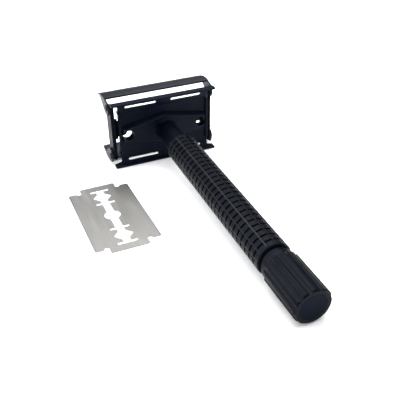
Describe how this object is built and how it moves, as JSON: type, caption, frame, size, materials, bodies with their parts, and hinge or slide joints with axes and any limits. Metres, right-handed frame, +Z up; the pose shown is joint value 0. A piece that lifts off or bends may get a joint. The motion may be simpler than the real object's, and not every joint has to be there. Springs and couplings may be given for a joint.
{
  "type": "safety razor",
  "caption": "Twist-to-open double edge safety razor with its doors open, lying on a table with its blade beside it.",
  "frame": {"origin": "middle of the footprint of the razor and its blade, on the table", "axes": "+Y from the knob to the head, +X along the head to the right seen from the handle, +Z up from the table"},
  "size_m": [0.0646, 0.1234, 0.0275],
  "materials": {
    "black_satin": "satin black coating",
    "black_grip": "satin black coating",
    "inner_steel": "turned",
    "blade_steel": "brushed"
  },
  "bodies": {
    "handle": {"guard_plate": "black_satin", "guard_boss": "black_satin", "neck_socket": "black_satin", "handle_tube": "black_grip", "grip_sleeve": "black_grip", "tail_bush": "inner_steel", "thrust_washer": "inner_steel"},
    "drive": {"drive_rod": "inner_steel", "retaining_ring": "inner_steel", "knob_collar": "black_satin", "knob_body": "black_satin", "knob_end_cap": "black_satin"},
    "carriage": {"lift_stem": "inner_steel", "blade_bed": "black_satin", "blade_stud_left": "black_satin", "blade_stud_right": "black_satin", "end_bracket_left": "black_satin", "end_bracket_right": "black_satin", "bar_rivet_left": "black_satin", "bar_rivet_right": "black_satin", "lower_hinge_pin_left": "black_satin", "lower_hinge_pin_right": "black_satin", "upper_hinge_pin_left": "black_satin", "upper_hinge_pin_right": "black_satin"},
    "lower_door": {"lower_door": "black_satin"},
    "upper_door": {"upper_door": "black_satin"},
    "blade": {"blade": "blade_steel"}
  },
  "joints": [
    {"name": "carriage_drop", "type": "slide", "parent": "handle", "child": "carriage", "axis": [0, -0.9974, -0.0722], "range_m": [0, 0.0036]},
    {"name": "knob_spin", "type": "hinge", "parent": "handle", "child": "drive", "pos_m": [0.01057, -0.04128, 0.00718], "axis": [0, 0.9974, 0.0722], "range_deg": [0, 648]},
    {"name": "lower_door_swing", "type": "hinge", "parent": "carriage", "child": "lower_door", "pos_m": [0.01057, 0.05033, 0.00348], "axis": [1, 0, 0], "range_deg": [0, 70]},
    {"name": "upper_door_swing", "type": "hinge", "parent": "carriage", "child": "upper_door", "pos_m": [0.01057, 0.04884, 0.02403], "axis": [-1, 0, 0], "range_deg": [0, 70]},
    {"name": "blade_lift", "type": "slide", "parent": "handle", "child": "blade", "axis": [0, 0, 1], "range_m": [0, 0.05]}
  ],
  "couplings": [
    {"joint": "knob_spin", "follows": "carriage_drop", "rad_per_m": 3141.6},
    {"joint": "lower_door_swing", "follows": "carriage_drop", "rad_per_m": 339.37},
    {"joint": "upper_door_swing", "follows": "carriage_drop", "rad_per_m": 339.37}
  ]
}
